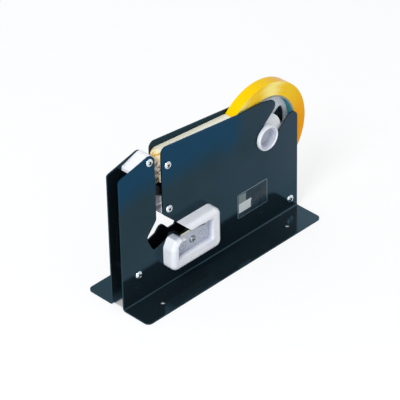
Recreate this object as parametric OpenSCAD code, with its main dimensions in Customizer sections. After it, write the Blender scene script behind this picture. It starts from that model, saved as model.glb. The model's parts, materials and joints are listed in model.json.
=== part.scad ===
// Bag neck sealer: two bent sheet steel side plates carry a narrow roll of tape on a
// wheel. The tape runs to a slot, where a bag's neck is pushed down through it. A sprung
// lever closes the slot, and a trimmer with a blade is screwed to the front plate.
// X runs along the plates, with the roll at +X. Y runs through them, front at -Y. Z is up.
// The origin is the centre of the four foot holes, on the underside. Sizes are in mm.

/* [Side plates] */
// Length of both side plates
plate_l = 225; // [205:1:270]
// Height of the plates at the right of the neck slot
plate_h = 148.6; // [140:0.1:180]
// Thickness of the sheet
sheet_t = 1.5; // [1:0.1:2]
// Inner radius of the bend at the foot
bend_r = 1.5; // [1:0.1:3]
// Width of each foot, outward from its plate
foot_w = 31; // [26:1:45]
// Corner radius of the feet
foot_corner_r = 5; // [2:0.5:8]
// Radius of the holes in the feet
foot_hole_r = 2.1; // [1.8:0.1:3]
// Distance between the foot holes along the plates
foot_hole_pitch = 162; // [120:1:190]
// Distance of the foot holes outward from the plate's face
foot_hole_out = 17; // [10:1:20]

/* [Neck slot] */
// Width of the cheek at the left of the slot
cheek_w = 43.2; // [40:0.1:52]
// Width of the slot that takes the bag's neck
slot_w = 8.3; // [7:0.1:12]
// Height at which the slot opens into the rest lobe
neck_z = 77.5; // [72:0.5:85]
// Slope of the edge that leads into the trimmer, in degrees
flare_a = 44.4; // [40:0.2:48]

/* [Spindle slot] */
// Distance of the spindle's seat from the right edge
seat_inset = 41.3; // [35:0.1:60]
// Height of the spindle's seat
seat_z = 96.8; // [85:0.1:110]
// Half width of the open slot
seat_r = 12.2; // [9:0.1:14]
// Angle of the open slot, in degrees
seat_a = 41.5; // [35:0.5:50]

/* [Tape and wheel] */
// Width of the tape
tape_w = 12; // [9:0.5:19]
// Outer diameter of the roll
tape_d = 107; // [90:1:120]
// Inner diameter of the cardboard core
core_d = 77; // [70:0.1:80]
// Wall of the cardboard core
core_t = 1.6; // [1.2:0.1:5]
// Thickness of the drawn tape strip
strip_t = 0.3; // [0.2:0.05:0.5]
// Angle round the roll at which the strip peels off, in degrees
peel_a = 136.2; // [125:0.1:145]
// Number of windows in the wheel
window_n = 4; // [3:1:6]
// Angle that each window takes up, in degrees
window_a = 43; // [20:1:50]

/* [Lever] */
// Radius of the lever's pin
pin_r = 2.5; // [1.5:0.1:3]
// Radius of the lever's eye
eye_r = 6.2; // [5:0.1:8]
// Wire radius of the torsion spring
wire_r = 0.5; // [0.3:0.05:0.6]
// Number of turns in the spring
turn_n = 3; // [2:1:4]

/* [Trimmer] */
// Width of the trimmer's housing
trim_w = 61.8; // [57:0.2:75]
// Height of the trimmer's housing
trim_h = 41.8; // [38:0.1:50]
// How far the housing stands off the plate
trim_d = 13; // [10:0.5:16]
// Radius of the housing's front edges
trim_edge_r = 4.6; // [2:0.1:5]
// Depth of the housing's recess
recess_d = 6; // [4:0.5:8]

/* [Screws] */
// Radius of the pan heads
head_r = 3.9; // [3.2:0.1:4.5]
// Height of the pan heads
head_h = 2.4; // [1.8:0.1:3]
// Radius of the shanks
shank_r = 1.9; // [1.4:0.1:2.2]

/* [Label] */
// Width of the label
label_w = 39; // [25:1:50]
// Height of the label
label_h = 27; // [15:1:35]

/* [Hidden] */

$fn = 64;

// Clearances
running = 0.06;      // between a turning part and its shaft
easy = 0.1;          // between a screw or a sliding part and its hole
apart = 0.3;         // between faces of separate moving parts
side_gap = 0.5;      // between the tape and each plate
over = 1;            // how far a cut runs past a face

// Plates
gap = tape_w + 2 * side_gap;
in_y = gap / 2;
out_y = in_y + sheet_t;
left_x = -plate_l / 2;
right_x = plate_l / 2;
slot_l = left_x + cheek_w;
slot_r = slot_l + slot_w;
hole_r = shank_r + 2 * easy;

// Spindle seat and slot directions
seat = [right_x - seat_inset, seat_z];
seat_u = [cos(seat_a), sin(seat_a)];
seat_n = [-sin(seat_a), cos(seat_a)];
slot_top = seat + seat_r * seat_n;
slot_low = seat - seat_r * seat_n;

// Top edge near the spindle slot: a point on it and its slope
shoulder = [right_x - 50.5, plate_h - 12];
shoulder_slope = -0.21;

// Wheel and roll
tape_r = tape_d / 2;
core_r = core_d / 2;
core_out_r = core_r + core_t;
rim_r = core_r - 0.2;
rim_t = 3.7;
rim_y = 1.2;
rim_w = tape_w / 2 - rim_y;
web_w = 2;
boss_r = 22;
boss_w = tape_w - 1.6;
spindle_r = seat_r - easy;
spindle_bore_r = spindle_r - 2.6;
cap_r = spindle_r + 0.4;
cap_h = 3.4;
cap_bore_r = cap_r - 1.6;
cap_stem_l = 5;

// Tape rest at the top of the cheek
rest_l = 25.4;
rest_low_z = plate_h - 14.1;
rest_x1 = slot_l - 0.3;
rest_x0 = rest_x1 - rest_l;
rib_n = 12;
rib_r = 0.25;

// Tape guide at the right of the slot
nose_r = 5.4;
guide_x0 = slot_r + 0.3;
nose = [guide_x0 + nose_r, plate_h - 12.4];
guide_low_z = plate_h - 37.6;
guide_w = 17;

// Strip of tape from the nose to the roll
peel = seat + (tape_r + apart) * [cos(peel_a), sin(peel_a)];
to_peel = peel - nose;
strip_a = atan2(to_peel.y, to_peel.x) + acos(nose_r / norm(to_peel));
strip_l = sqrt(pow(norm(to_peel), 2) - pow(nose_r, 2));
tail_l = 28.3;
tail_cut_a = 51;

// Knife in the guide
knife_t = 0.6;
knife_l = 13;
knife_a = 24;
tooth_n = 10;
tooth_h = 1.1;
knife_tip = [guide_x0 + 0.5, guide_low_z + 3.4];

// Lever
pivot = [slot_l - 22.6, neck_z + 4.7];
lever_half_w = in_y - 1;
arm_y0 = -in_y + apart;
arm_y1 = 0.3;
stop_x = slot_l - 3.2;
stop_z = neck_z + 42.5;
tip_x = slot_r + 2.6;
nose_back_x = slot_l - 14.7;

// Spring
coil_r = pin_r + 1 + wire_r;
coil_y0 = arm_y1 + apart + wire_r;
coil_w = in_y - apart - wire_r - coil_y0;
wire_sides = 6;
turn_steps = 8;

// Screws of the side plates
screw_rest = [slot_l - 7, plate_h - 6.7];
screw_guide = [slot_r + 6.8, plate_h - 20];
screw_neck = [slot_r + 6.9, neck_z + 4.6];
shank_l = out_y - 0.5;
screw_left = [left_x + 18.9, 30.7];
screw_right = [right_x - 10.2, 13.5];
side_screws = [screw_rest, screw_guide, screw_neck, screw_left, screw_right];
spacer_r = 4.5;

// Line of the spring's wire
spring_path = concat(
    [[screw_left.x - spacer_r - wire_r - apart, coil_y0, screw_left.y - 3]],
    [[screw_left.x - spacer_r - wire_r - apart, coil_y0, pivot.y - 14]],
    [for (i = [0:turn_n * turn_steps])
        let (a = 180 - 360 * i / turn_steps)
        [pivot.x + coil_r * cos(a), coil_y0 + coil_w * i / (turn_n * turn_steps),
            pivot.y + coil_r * sin(a)]],
    [[nose_back_x - wire_r - apart, coil_y0 + coil_w, neck_z + 34]]
);

// Trimmer
trim_x0 = slot_l + 7.1;
trim_x1 = trim_x0 + trim_w;
trim_z0 = neck_z - 56.7;
trim_z1 = trim_z0 + trim_h;
trim_y0 = -out_y - trim_d;
floor_y = trim_y0 + recess_d;
trim_corner_r = 7;
trim_head_r = 3.3;
ridge_x = slot_l + 22.4;
block_z = neck_z - 24.7;
notch_z = neck_z - 27.2;
trim_screw = [trim_x0 + 29.8, trim_z0 + 20.2];
bosses = [for (s = [-1, 1]) trim_screw + [s * 12.6, -1]];
boss_pad_r = 5;
peg_r = 1.5;

// Blade: its face, and the sloping line of its upper edge
blade_t = 0.6;
blade_y = floor_y + 0.8;
blade_a = 8.3;
blade_x0 = ridge_x + 1;
blade_x1 = blade_x0 + 28.9;
blade_z0 = trim_z0 + 15.4;
blade_z1 = notch_z + 3.1;

// ---- Helpers ----

function unit(v) = v / norm(v);

// Height of the flare line at x
function flare_z(x) = neck_z + 1.1 - tan(flare_a) * (x - slot_r);

// Height at x of the line that lies a distance above the strip's underside
function under_strip_z(x, up) = nose.y + ((nose_r + up) - (x - nose.x) * cos(strip_a)) / sin(strip_a);

// Height of the blade's upper edge at x
function blade_top(x) = blade_z1 - tan(blade_a) * (x - blade_x0);

// x of the flare line at a height
function flare_x(z) = slot_r + (neck_z + 1.1 - z) / tan(flare_a);

// Flat outline from corners [x, z, radius], listed anticlockwise, with true arcs
module outline(corners) {
    n = len(corners);
    p = [for (c = corners) [c.x, c.y]];
    a = [for (i = [0:n - 1]) unit(p[(i + n - 1) % n] - p[i])];
    b = [for (i = [0:n - 1]) unit(p[(i + 1) % n] - p[i])];
    half = [for (i = [0:n - 1]) acos(a[i] * b[i]) / 2];
    run = [for (i = [0:n - 1]) corners[i].z / tan(half[i])];
    from = [for (i = [0:n - 1]) p[i] + a[i] * run[i]];
    to = [for (i = [0:n - 1]) p[i] + b[i] * run[i]];
    centre = [for (i = [0:n - 1]) p[i] + unit(a[i] + b[i]) * corners[i].z / sin(half[i])];
    inward = [for (i = [0:n - 1]) a[i].x * b[i].y - a[i].y * b[i].x > 0];
    module corner_arc(i) {
        intersection() {
            translate(centre[i]) circle(corners[i].z);
            polygon([from[i], p[i], to[i]]);
        }
    }
    difference() {
        union() {
            polygon([for (i = [0:n - 1]) for (q = corners[i].z > 0 ? [from[i], to[i]] : [p[i]]) q]);
            for (i = [0:n - 1]) if (corners[i].z > 0 && !inward[i]) corner_arc(i);
        }
        for (i = [0:n - 1]) if (corners[i].z > 0 && inward[i]) corner_arc(i);
    }
}

// Stands a flat XZ shape up between two Y planes
module slab(y0, y1) {
    translate([0, y1, 0]) rotate([90, 0, 0]) linear_extrude(y1 - y0) children();
}

// Cylinder along Y at a point of the XZ plane
module rod(at, r, y0, y1) {
    translate([at.x, y1, at.y]) rotate([90, 0, 0]) cylinder(r = r, h = y1 - y0);
}

// Turned shape along Y: its profile is [radius, y], read towards +Y from y0
module turned(at, y0) {
    translate([at.x, y0, at.y]) rotate([-90, 0, 0]) rotate_extrude() children();
}

// Closed tube along a path, with the same number of sides at each ring
module wire(path, r) {
    n = len(path);
    dirs = [for (i = [0:n - 1]) unit(path[min(i + 1, n - 1)] - path[max(i - 1, 0)])];
    rings = [for (i = [0:n - 1])
        let (s = unit(cross(dirs[i], abs(dirs[i].y) > 0.9 ? [1, 0, 0] : [0, 1, 0])),
             t = cross(dirs[i], s))
        for (k = [0:wire_sides - 1])
            path[i] + r * (cos(360 * k / wire_sides) * s + sin(360 * k / wire_sides) * t)];
    last = (n - 1) * wire_sides;
    walls = [for (i = [0:n - 2]) for (k = [0:wire_sides - 1])
        let (k2 = (k + 1) % wire_sides, q = i * wire_sides)
        for (f = [[q + k, q + wire_sides + k, q + wire_sides + k2], [q + k, q + wire_sides + k2, q + k2]]) f];
    caps = [for (k = [1:wire_sides - 2]) for (f = [[0, k, k + 1], [last, last + k + 1, last + k]]) f];
    polyhedron(points = rings, faces = concat(walls, caps));
}

// ---- Side plates ----

// Upright face of a plate, with the neck slot, the rest lobe and the open spindle slot
module upright_face() {
    horn_run = (right_x - slot_low.x) / seat_u.x;
    tip_run = (shoulder.y + shoulder_slope * (slot_top.x - shoulder.x) - slot_top.y)
        / (seat_u.y - shoulder_slope * seat_u.x);
    horn = slot_low + horn_run * seat_u;
    tip = slot_top + tip_run * seat_u;
    floor_z = neck_z - 30.2;
    difference() {
        outline([
            [left_x, sheet_t + bend_r, 0],
            [right_x, sheet_t + bend_r, 0],
            [horn.x, horn.y, 7.6],
            [slot_low.x, slot_low.y, 0],
            [slot_top.x, slot_top.y, 0],
            [tip.x, tip.y, 6.6],
            [shoulder.x, shoulder.y, 20],
            [right_x - 74.5, plate_h - 11.3, 30],
            [slot_r, plate_h, 6],
            [slot_r, neck_z + 1.1, 5],
            [flare_x(floor_z), floor_z, 2.5],
            [slot_l + 28.2, floor_z, 1.5],
            [slot_l + 19.1, neck_z - 19.9, 4.7],
            [slot_l + 11.7, neck_z - 27.8, 4],
            [slot_l - 4, neck_z - 32.9, 8],
            [slot_l - 12.7, neck_z - 14.5, 6],
            [slot_l, neck_z, 5],
            [slot_l, plate_h + 0.7, 7],
            [left_x, plate_h - 9.5, 3]
        ]);
        translate(seat) circle(seat_r);
        translate(pivot) circle(pin_r + 0.02);
        for (s = side_screws) translate(s) circle(hole_r);
    }
}

// Front plate without the trimmer's holes: upright, bend and foot
module plate_blank() {
    bend_y = -in_y - sheet_t - bend_r;
    bend_z = sheet_t + bend_r;
    slab(-out_y, -in_y) upright_face();
    difference() {
        translate([left_x, bend_y, bend_z]) rotate([0, 90, 0]) cylinder(r = bend_z, h = plate_l);
        translate([left_x - over, bend_y, bend_z])
            rotate([0, 90, 0]) cylinder(r = bend_r, h = plate_l + 2 * over);
        translate([left_x - over, bend_y - 2 * bend_z, -over])
            cube([plate_l + 2 * over, 2 * bend_z, 3 * bend_z]);
        translate([left_x - over, bend_y - 2 * bend_z, bend_z])
            cube([plate_l + 2 * over, 4 * bend_z, 2 * bend_z]);
    }
    linear_extrude(sheet_t) difference() {
        outline([
            [left_x, -out_y - foot_w, foot_corner_r],
            [right_x, -out_y - foot_w, foot_corner_r],
            [right_x, bend_y, 0],
            [left_x, bend_y, 0]
        ]);
        for (x = [-1, 1]) translate([x * foot_hole_pitch / 2, -out_y - foot_hole_out])
            circle(foot_hole_r);
    }
}

module front_plate() {
    color([0.12, 0.18, 0.24]) difference() {
        plate_blank();
        rod(trim_screw, hole_r, -out_y - over, -in_y + over);
        for (b = bosses) rod(b, peg_r + easy, -out_y - over, -in_y + over);
    }
}

module rear_plate() {
    color([0.12, 0.18, 0.24]) mirror([0, 1, 0]) plate_blank();
}

// ---- Fasteners and spacers ----

// Pan head screw whose head lies on the plane y = seat_y and whose shank runs to +Y
module pan_screw(at, seat_y, length, r) {
    edge = head_h / 2;
    turned(at, seat_y - head_h) {
        translate([0, head_h - 0.1]) square([shank_r, length + 0.1]);
        square([r - edge, head_h]);
        translate([0, edge]) square([r, head_h - edge]);
        translate([r - edge, edge]) circle(edge);
    }
}

// The same screw with a cross recess
module cross_screw(at, seat_y, length, r) {
    difference() {
        pan_screw(at, seat_y, length, r);
        for (a = [0, 90]) translate([at.x, seat_y - head_h, at.y]) rotate([0, a + 20, 0])
            cube([1.15 * r, head_h, 0.24 * r], center = true);
    }
}

module side_screws_front() {
    color([0.8, 0.84, 0.86]) for (s = side_screws) cross_screw(s, -out_y, shank_l, head_r);
}

module side_screws_rear() {
    color([0.8, 0.84, 0.86]) mirror([0, 1, 0]) for (s = side_screws) cross_screw(s, -out_y, shank_l, head_r);
}

module spacer(at) {
    difference() {
        rod(at, spacer_r, -in_y, in_y);
        rod(at, shank_r + easy, -in_y - over, in_y + over);
    }
}

module spacer_left() {
    color([0.7, 0.72, 0.74]) spacer(screw_left);
}

module spacer_right() {
    color([0.7, 0.72, 0.74]) spacer(screw_right);
}

// ---- Blocks between the plates ----

// White block that the tape's end is laid on; its right foot is the lever's stop
module tape_rest() {
    top_l = [rest_x0, plate_h - 8.3];
    top_r = [slot_l - 7.4, plate_h - 1.6];
    rib_u = unit(top_r - top_l);
    rib_pitch = (norm(top_r - top_l) - 2 * rib_r) / rib_n;
    color([0.93, 0.93, 0.95]) difference() {
        slab(-in_y, in_y) {
            outline([
                [rest_x0 + 2.5, rest_low_z, 0],
                [stop_x + apart, rest_low_z, 0],
                [stop_x + apart, stop_z, 0],
                [rest_x1, stop_z, 0],
                [rest_x1, plate_h - 1.4, 4.5],
                [top_r.x, top_r.y, 3],
                [top_l.x, top_l.y, 0.8],
                [rest_x0, rest_low_z + 2, 0.8]
            ]);
            for (i = [0:rib_n - 1]) translate(top_l + rib_u * (rib_pitch * (i + 1))) circle(rib_r);
        }
        rod(screw_rest, shank_r + easy, -in_y - over, in_y + over);
    }
}

// Slot for the knife, measured from the tip of its teeth
module knife_frame() {
    translate([knife_tip.x, 0, knife_tip.y]) rotate([0, -knife_a, 0]) children();
}

module tape_guide() {
    right = guide_x0 + guide_w;
    color([0.94, 0.92, 0.84]) difference() {
        slab(-in_y, in_y) outline([
            [guide_x0, guide_low_z, 1],
            [right, guide_low_z + 5, 1],
            [right, under_strip_z(right, 0), 1],
            [guide_x0, under_strip_z(guide_x0, 0), nose_r]
        ]);
        rod(screw_guide, shank_r + easy, -in_y - over, in_y + over);
        knife_frame() translate([-over, -in_y - over, -easy / 2])
            cube([knife_l + over + easy, 2 * (in_y + over), knife_t + easy]);
    }
}

module neck_guide() {
    color([0.78, 0.78, 0.82]) difference() {
        slab(-in_y, in_y) outline([
            [slot_r + 0.2, neck_z + 2.2, 1.5],
            [slot_r + 2.6, neck_z - 0.5, 1.5],
            [slot_r + 14, neck_z - 0.5, 0],
            [slot_r + 14, neck_z + 19.5, 2],
            [slot_r + 0.2, neck_z + 19.5, 2]
        ]);
        rod(screw_neck, shank_r + easy, -in_y - over, in_y + over);
    }
}

// Toothed strip that cuts the tape, held in the guide's slot
module tape_knife() {
    pitch = 2 * (in_y - easy) / tooth_n;
    color([0.8, 0.82, 0.84]) knife_frame() linear_extrude(knife_t) polygon(concat(
        [[knife_l, -in_y + easy], [knife_l, in_y - easy], [tooth_h, in_y - easy]],
        [for (i = [tooth_n - 1:-1:0]) for (q = [
            [0, -in_y + easy + (i + 0.5) * pitch],
            [tooth_h, -in_y + easy + i * pitch]
        ]) q]
    ));
}

// ---- Lever ----

// Black lever: an eye and arm beside the spring, and a full-width nose across the slot
module press_lever() {
    color([0.05, 0.05, 0.06]) difference() {
        union() {
            rod(pivot, eye_r, arm_y0, arm_y1);
            slab(arm_y0, arm_y1) polygon([
                pivot + eye_r * [-0.92, 0.39],
                pivot + eye_r * [0.68, -0.73],
                [slot_l - 2, neck_z + 20.5],
                [slot_l - 8, neck_z + 46],
                [nose_back_x, neck_z + 42]
            ]);
            slab(-lever_half_w, lever_half_w) outline([
                [nose_back_x, neck_z + 19.5, 1],
                [slot_l - 5, neck_z + 19.5, 2],
                [slot_l + 0.5, neck_z + 24.5, 3],
                [tip_x, neck_z + 20.8, 1.2],
                [tip_x, neck_z + 27, 2.5],
                [stop_x, neck_z + 41.8, 0],
                [stop_x, neck_z + 48, 1.5],
                [nose_back_x, neck_z + 48, 2]
            ]);
        }
        rod(pivot, pin_r + running, -in_y - over, in_y + over);
    }
}

module lever_pin() {
    color([0.12, 0.18, 0.24]) rod(pivot, pin_r, -out_y, out_y);
}

// Torsion spring: one leg down to the left spacer, the coil, one leg up to the lever's nose
module lever_spring() {
    last = len(spring_path) - 1;
    gaps = [for (i = [0:last]) for (j = [i + turn_steps / 2:last])
        norm(spring_path[j] - spring_path[i]) - 2 * wire_r];
    echo(least_self_gap = min(gaps));
    color([0.6, 0.62, 0.64]) wire(spring_path, wire_r);
}

// ---- Trimmer ----

// Post with a rounded front edge, along -Y from the plate
module post(x, z, r) {
    steps = 5;
    translate([x, -out_y, z]) rotate([90, 0, 0]) rotate_extrude($fn = 40) polygon(concat(
        [[0, 0], [r, 0]],
        [for (k = [0:steps]) [r - trim_edge_r * (1 - cos(90 * k / steps)),
            trim_d - trim_edge_r * (1 - sin(90 * k / steps))]],
        [[0, trim_d]]
    ));
}

// Moulded frame with a wedge-shaped notch, a stepped recess, two bosses and a blade slit
module trimmer_housing() {
    c = trim_corner_r;
    e = trim_edge_r;
    right = trim_x1 - 10.4;
    bottom = trim_z0 + 11.4;
    lip_z = trim_z1 - 5.7;
    module pocket(step, y1) {
        slab(trim_y0 - over, y1) outline([
            [trim_x0 + 6.6 + step, bottom + step, 1.2],
            [right - step, bottom + step, 2],
            [right - step, lip_z - 0.8 - step, 1.2],
            [flare_x(lip_z - step), lip_z - step, 0],
            [flare_x(notch_z), notch_z, 0],
            [ridge_x + 1.6, notch_z, 0],
            [trim_x0 + 9.5, notch_z - 0.8, 1],
            [trim_x0 + 6.6 + step, notch_z - 3.6, 1.5]
        ]);
    }
    color([0.93, 0.93, 0.96]) difference() {
        union() {
            hull() {
                post(trim_x0 + c, trim_z0 + c, c);
                post(trim_x0 + e, block_z - e - 5.6, e);
                post(ridge_x - e - 3, block_z - e - 0.2, e);
                post(ridge_x - e, block_z - e, e);
                post(ridge_x + 8, trim_z0 + c, c);
            }
            difference() {
                hull() {
                    post(trim_x0 + 12, trim_z0 + c, c);
                    post(trim_x1 - c, trim_z0 + c, c);
                    post(trim_x1 - c, trim_z1 - c, c);
                    post(flare_x(trim_z1) - 0.4, trim_z1 - e, e);
                }
                slab(trim_y0 - over, -out_y + over) polygon([
                    [trim_x0 - over, notch_z],
                    [flare_x(notch_z), notch_z],
                    [flare_x(trim_z1 + over), trim_z1 + over],
                    [trim_x0 - over, trim_z1 + over]
                ]);
                slab(blade_y + blade_t, -out_y + over) polygon([
                    [ridge_x, notch_z - 5],
                    [flare_x(notch_z - 5), notch_z - 5],
                    [flare_x(notch_z + over), notch_z + over],
                    [ridge_x, notch_z + over]
                ]);
            }
            for (b = bosses) rod(b, peg_r, -out_y - over, -in_y);
        }
        pocket(0, trim_y0 + recess_d / 2);
        pocket(0.7, floor_y);
        for (b = bosses) {
            difference() {
                rod(b, boss_pad_r, floor_y - over, floor_y + 0.4);
                rod(b, boss_pad_r - 1, floor_y - over, floor_y + over);
            }
            rod(b, 1.2, floor_y - over, floor_y + 0.5);
        }
        rod(trim_screw, trim_head_r + 0.4, floor_y - over, blade_y);
        rod(trim_screw, shank_r + easy, trim_y0 - over, -out_y + over);
        slab(blade_y - easy / 2, blade_y + blade_t + easy / 2) blade_face(easy);
        translate([blade_x1, floor_y - over, blade_top(blade_x1)]) rotate([0, blade_a, 0])
            translate([-18.5, 0, 0]) cube([18.5, over + 4, 1]);
        rod([blade_x1 + 0.4, blade_top(blade_x1)], 0.9, floor_y - over, floor_y + 3);
    }
}

// Outline of the trimmer's blade, grown by a clearance
module blade_face(grow) {
    polygon([
        [blade_x0 - grow, blade_z0 - grow],
        [blade_x1 + grow, blade_z0 - grow],
        [blade_x1 + grow, blade_top(blade_x1) + grow],
        [blade_x0 - grow, blade_top(blade_x0) + grow]
    ]);
}

// Blade across the foot of the notch, with a ground upper edge
module trimmer_blade() {
    color([0.82, 0.83, 0.8]) difference() {
        slab(blade_y, blade_y + blade_t) blade_face(0);
        rod(trim_screw, shank_r + easy, blade_y - over, blade_y + over);
        translate([blade_x0, blade_y, blade_top(blade_x0)]) rotate([0, blade_a, 0]) rotate([-16, 0, 0])
            translate([-over, -3, -3]) cube([trim_w, 3, 4]);
    }
}

module trimmer_screw() {
    color([0.1, 0.11, 0.12])
        cross_screw(trim_screw, blade_y, -in_y - blade_y + 3.4, trim_head_r);
}

module trimmer_nut() {
    color([0.75, 0.76, 0.78]) difference() {
        translate([trim_screw.x, -in_y + 3.2, trim_screw.y])
            rotate([90, 0, 0]) cylinder(r = 4.04, h = 3.2, $fn = 6);
        rod(trim_screw, shank_r + easy, -in_y - over, -in_y + 3.2 + over);
    }
}

// ---- Spindle, wheel and tape ----

module spindle_tube() {
    color([0.92, 0.92, 0.95]) difference() {
        rod(seat, spindle_r, -out_y - 0.2, out_y + 0.2);
        rod(seat, spindle_bore_r, -out_y - over, out_y + over);
    }
}

// Hollow stepped cap on the front end of the spindle
module spindle_cap() {
    y0 = -out_y - apart - cap_h;
    difference() {
        union() {
            turned(seat, y0) difference() {
                square([cap_r, cap_h]);
                polygon([[cap_r - 0.8, -0.01], [cap_r + 0.01, -0.01], [cap_r + 0.01, 0.8]]);
            }
            rod(seat, spindle_bore_r - running, y0 + cap_h - over, y0 + cap_h + cap_stem_l);
        }
        rod(seat, cap_bore_r - 2.2, y0 + 1.2, y0 + cap_h + cap_stem_l - 1.6);
        rod(seat, cap_bore_r, y0 - over, y0 + 1.4);
    }
}

module spindle_cap_front() {
    color([0.92, 0.92, 0.95]) spindle_cap();
}

module spindle_cap_rear() {
    color([0.92, 0.92, 0.95]) mirror([0, 1, 0]) spindle_cap();
}

// Rounded window between the wheel's boss and rim, centred on an angle
module window(angle) {
    out_r = rim_r - rim_t;
    half = window_a / 2;
    function at(r, a) = [r * cos(angle + a), r * sin(angle + a)];
    outline([for (c = [
        [boss_r - 2, -half, 0], [out_r, -half, 3.5], [out_r * 1.02, -half / 3, 15],
        [out_r * 1.02, half / 3, 15], [out_r, half, 3.5], [boss_r - 2, half, 0]
    ]) [at(c.x, c.y).x, at(c.x, c.y).y, c.z]]);
}

// Wheel that carries the core: boss, web with windows, and rim
module hub_wheel() {
    color([0.92, 0.92, 0.95]) difference() {
        union() {
            rod(seat, boss_r, -boss_w / 2, boss_w / 2);
            difference() {
                rod(seat, rim_r, rim_y, rim_y + rim_w);
                rod(seat, rim_r - rim_t + 1.5, rim_y + web_w, rim_y + rim_w + over);
                translate([seat.x, 0, seat.y]) slab(rim_y - over, rim_y + rim_w)
                    for (i = [0:window_n - 1]) window(12 + 360 * i / window_n);
            }
        }
        rod(seat, spindle_r + running, -boss_w, boss_w);
    }
}

module tape_core() {
    color([0.45, 0.55, 0.58]) difference() {
        rod(seat, core_out_r, -tape_w / 2, tape_w / 2);
        rod(seat, core_r, -tape_w / 2 - over, tape_w / 2 + over);
    }
}

module tape_roll() {
    color([1, 0.78, 0.05]) difference() {
        rod(seat, tape_r, -tape_w / 2, tape_w / 2);
        rod(seat, core_out_r, -tape_w / 2 - over, tape_w / 2 + over);
    }
}

// Tape from the roll over the guide's nose, with a tail cut off at a slant
module tape_strip() {
    out_x = guide_x0 - strip_t;
    tail_z = nose.y - tail_l;
    along = [sin(strip_a), -cos(strip_a)];
    end = nose + nose_r * [cos(strip_a), sin(strip_a)] + strip_l * along;
    end_top = end + strip_t * [cos(strip_a), sin(strip_a)];
    color([0.95, 0.9, 0.72]) difference() {
        slab(-tape_w / 2, tape_w / 2) outline([
            [out_x, tail_z, 0],
            [guide_x0, tail_z, 0],
            [guide_x0, under_strip_z(guide_x0, 0), nose_r],
            [end.x, end.y, 0],
            [end_top.x, end_top.y, 0],
            [out_x, under_strip_z(out_x, strip_t), nose_r + strip_t]
        ]);
        translate([out_x - over, 0, tail_z]) rotate([-tail_cut_a, 0, 0])
            translate([0, -3 * tape_w, -3 * tape_w]) cube([2 * over + strip_t, 4 * tape_w, 3 * tape_w]);
    }
}

// Bare film label, set a little crooked
module plate_label() {
    color([0.5, 0.54, 0.56]) translate([right_x - 59.9, -out_y, 38.4]) rotate([0, 6, 0])
        slab(-0.15, 0) outline([
            [-label_w / 2, -label_h / 2, 1],
            [label_w / 2, -label_h / 2, 1],
            [label_w / 2, label_h / 2, 1],
            [-label_w / 2, label_h / 2, 1]
        ]);
}

front_plate();
rear_plate();
side_screws_front();
side_screws_rear();
spacer_left();
spacer_right();
tape_rest();
tape_guide();
neck_guide();
tape_knife();
press_lever();
lever_pin();
lever_spring();
trimmer_housing();
trimmer_blade();
trimmer_screw();
trimmer_nut();
spindle_tube();
spindle_cap_front();
spindle_cap_rear();
hub_wheel();
tape_core();
tape_roll();
tape_strip();
plate_label();
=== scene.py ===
# %% [markdown]
# # A bag neck sealer, dressed for its picture
# The object clips a strip of tape round the gathered neck of a bag. Two bent steel plates
# carry a wheel with a narrow roll of tape, a sprung lever between them presses the tape
# shut, and a white trimmer with a small blade cuts off what sticks out. The CAD model has
# every piece in its place, so this script only adds looks: finishes, and finer pieces
# where the CAD solid is too plain. All lengths are in metres.

# %% The CAD model as a fixed frame
import json
import math
import random

import bmesh
import bpy
from mathutils import Matrix, Vector


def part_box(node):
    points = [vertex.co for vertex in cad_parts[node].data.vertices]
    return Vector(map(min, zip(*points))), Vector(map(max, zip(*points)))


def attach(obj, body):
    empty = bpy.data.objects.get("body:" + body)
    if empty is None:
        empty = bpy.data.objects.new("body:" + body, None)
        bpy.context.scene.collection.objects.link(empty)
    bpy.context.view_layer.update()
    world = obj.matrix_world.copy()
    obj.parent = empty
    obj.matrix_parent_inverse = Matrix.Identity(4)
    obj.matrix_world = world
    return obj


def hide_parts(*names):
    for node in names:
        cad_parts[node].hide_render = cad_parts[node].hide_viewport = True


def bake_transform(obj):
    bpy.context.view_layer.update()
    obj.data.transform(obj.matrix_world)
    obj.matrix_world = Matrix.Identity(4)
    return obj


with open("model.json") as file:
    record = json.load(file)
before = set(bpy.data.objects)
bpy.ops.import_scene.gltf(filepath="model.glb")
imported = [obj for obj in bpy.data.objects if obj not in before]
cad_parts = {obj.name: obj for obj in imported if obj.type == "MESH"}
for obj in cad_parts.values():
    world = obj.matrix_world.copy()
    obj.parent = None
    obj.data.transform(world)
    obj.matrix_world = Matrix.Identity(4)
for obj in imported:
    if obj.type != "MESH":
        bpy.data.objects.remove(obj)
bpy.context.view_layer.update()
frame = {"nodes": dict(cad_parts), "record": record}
nodes = frame["nodes"]
record = frame["record"]
BODY = {n: body for body, group in record["behaviour"]["bodies"].items() for n in group}

# %% [markdown]
# ## The camera
# A camera is a place, a direction and a lens. The picture was taken from in front, to the
# left and from above, through a long lens, so upright lines stay nearly upright. The
# numbers come from fitting the plates' corners; the matrix columns are the camera's right,
# its up and the way it looks away from.

# %% Camera
EYE = Vector((-1.40164, -1.41224, 1.44943))
LOOK = Vector((0.57609542, 0.58334817, -0.57255477))
ROLL = math.radians(-1.25)
level = LOOK.cross(Vector((0, 0, 1))).normalized()
upward = level.cross(LOOK)
right = math.cos(ROLL) * level + math.sin(ROLL) * upward
top = math.cos(ROLL) * upward - math.sin(ROLL) * level
camera = bpy.data.objects.new("camera", bpy.data.cameras.new("camera"))
camera.data.lens = 242.53
camera.data.sensor_width = 36
camera.matrix_world = Matrix([(*axes,) for axes in zip(right, top, -LOOK, EYE)]).to_4x4()
bpy.context.collection.objects.link(camera)
bpy.context.scene.camera = camera
bpy.context.scene.view_settings.view_transform = "Standard"
print("camera stands", round(EYE.length, 2), "m away")

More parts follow.
